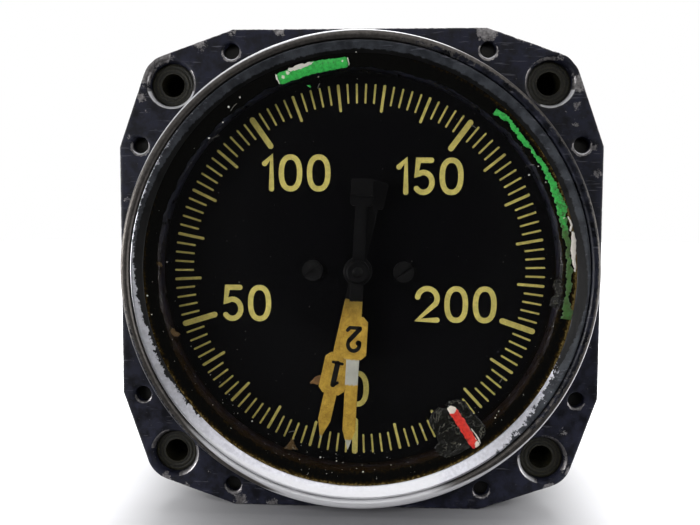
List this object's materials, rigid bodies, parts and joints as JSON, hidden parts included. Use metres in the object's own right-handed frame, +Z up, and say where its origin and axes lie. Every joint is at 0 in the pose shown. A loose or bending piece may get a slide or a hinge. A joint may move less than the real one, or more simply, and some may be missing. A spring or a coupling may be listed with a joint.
{
  "type": "torquemeter indicator",
  "caption": "Round panel indicator with two pointers on one axis over a full-circle dial, a clipped-corner mounting flange and a cylindrical case with a rear plug-in receptacle.",
  "frame": {"origin": "on the dial's axis, in the plane of the flange's front face", "axes": "-Y the way the dial faces, +Z up the dial, +X to the dial's right as it is read"},
  "size_m": [0.0808, 0.1346, 0.0808],
  "materials": {
    "case_paint": "satin blue-black paint over cast aluminium, worn at the edges",
    "insert_brass": "dull dirty brass",
    "screw_steel": "plated steel, dulled",
    "ring_metal": "bare aluminium with flaked black paint",
    "sealant_black": "black sealing compound",
    "cover_glass": "clear flat glass",
    "gasket_rubber": "matte black rubber",
    "dial_black": "matte black paint",
    "black_screw": "blackened steel",
    "pointer_gold": "gold paint on aluminium, with black hub and tail",
    "weight_black": "brass, painted black",
    "frame_metal": "machined aluminium",
    "post_metal": "turned steel",
    "core_steel": "stacked lamination steel",
    "winding_copper": "varnished copper wire",
    "shaft_steel": "ground steel",
    "bearing_steel": "polished bearing steel",
    "insulator": "brown moulded insulation",
    "contact_metal": "plated contact metal",
    "shell_metal": "plated aluminium, dulled",
    "receptacle_insulation": "dark moulded insulation"
  },
  "bodies": {
    "case": {"front_flange": "case_paint", "mounting_inserts": "insert_brass", "flange_screws": "screw_steel", "glass_retaining_ring": "ring_metal", "glass_sealant": "sealant_black", "cover_glass": "cover_glass", "case_gasket": "gasket_rubber", "case_body": "case_paint", "receptacle_gasket": "gasket_rubber", "receptacle_shell": "shell_metal", "receptacle_insert": "receptacle_insulation", "receptacle_pins": "contact_metal", "receptacle_screws": "screw_steel", "glass_gasket": "gasket_rubber", "dial": "dial_black", "dial_screws": "black_screw", "mechanism_plate": "frame_metal", "plate_screws": "screw_steel", "frame_posts": "post_metal", "rear_plate": "frame_metal", "rear_plate_screws": "screw_steel", "front_motor_housing": "frame_metal", "front_motor_end_bell": "frame_metal", "front_motor_stator_core": "core_steel", "front_motor_stator_winding": "winding_copper", "front_motor_brush_block": "insulator", "front_motor_brushes": "contact_metal", "front_motor_bearing_outer_races": "bearing_steel", "rear_motor_housing": "frame_metal", "rear_motor_end_bell": "frame_metal", "rear_motor_stator_core": "core_steel", "rear_motor_stator_winding": "winding_copper", "rear_motor_brush_block": "insulator", "rear_motor_brushes": "contact_metal", "rear_motor_bearing_outer_races": "bearing_steel"},
    "pointer_1_rotor": {"pointer_1": "pointer_gold", "pointer_1_counterweight": "weight_black", "front_motor_rotor_core": "core_steel", "front_motor_rotor_windings": "winding_copper", "front_motor_slip_ring_sleeve": "insulator", "front_motor_slip_rings": "contact_metal", "front_motor_bearing_inner_races": "bearing_steel", "front_motor_shaft": "shaft_steel"},
    "pointer_2_rotor": {"pointer_2": "pointer_gold", "pointer_2_counterweight": "weight_black", "rear_motor_rotor_core": "core_steel", "rear_motor_rotor_windings": "winding_copper", "rear_motor_slip_ring_sleeve": "insulator", "rear_motor_slip_rings": "contact_metal", "rear_motor_bearing_inner_races": "bearing_steel", "rear_motor_shaft": "shaft_steel"}
  },
  "joints": [
    {"name": "pointer_1_spin", "type": "hinge", "parent": "case", "child": "pointer_1_rotor", "pos_m": [0, 0, 0], "axis": [0, 1, 0], "continuous": true},
    {"name": "pointer_2_spin", "type": "hinge", "parent": "case", "child": "pointer_2_rotor", "pos_m": [0, 0, 0], "axis": [0, 1, 0], "continuous": true}
  ]
}
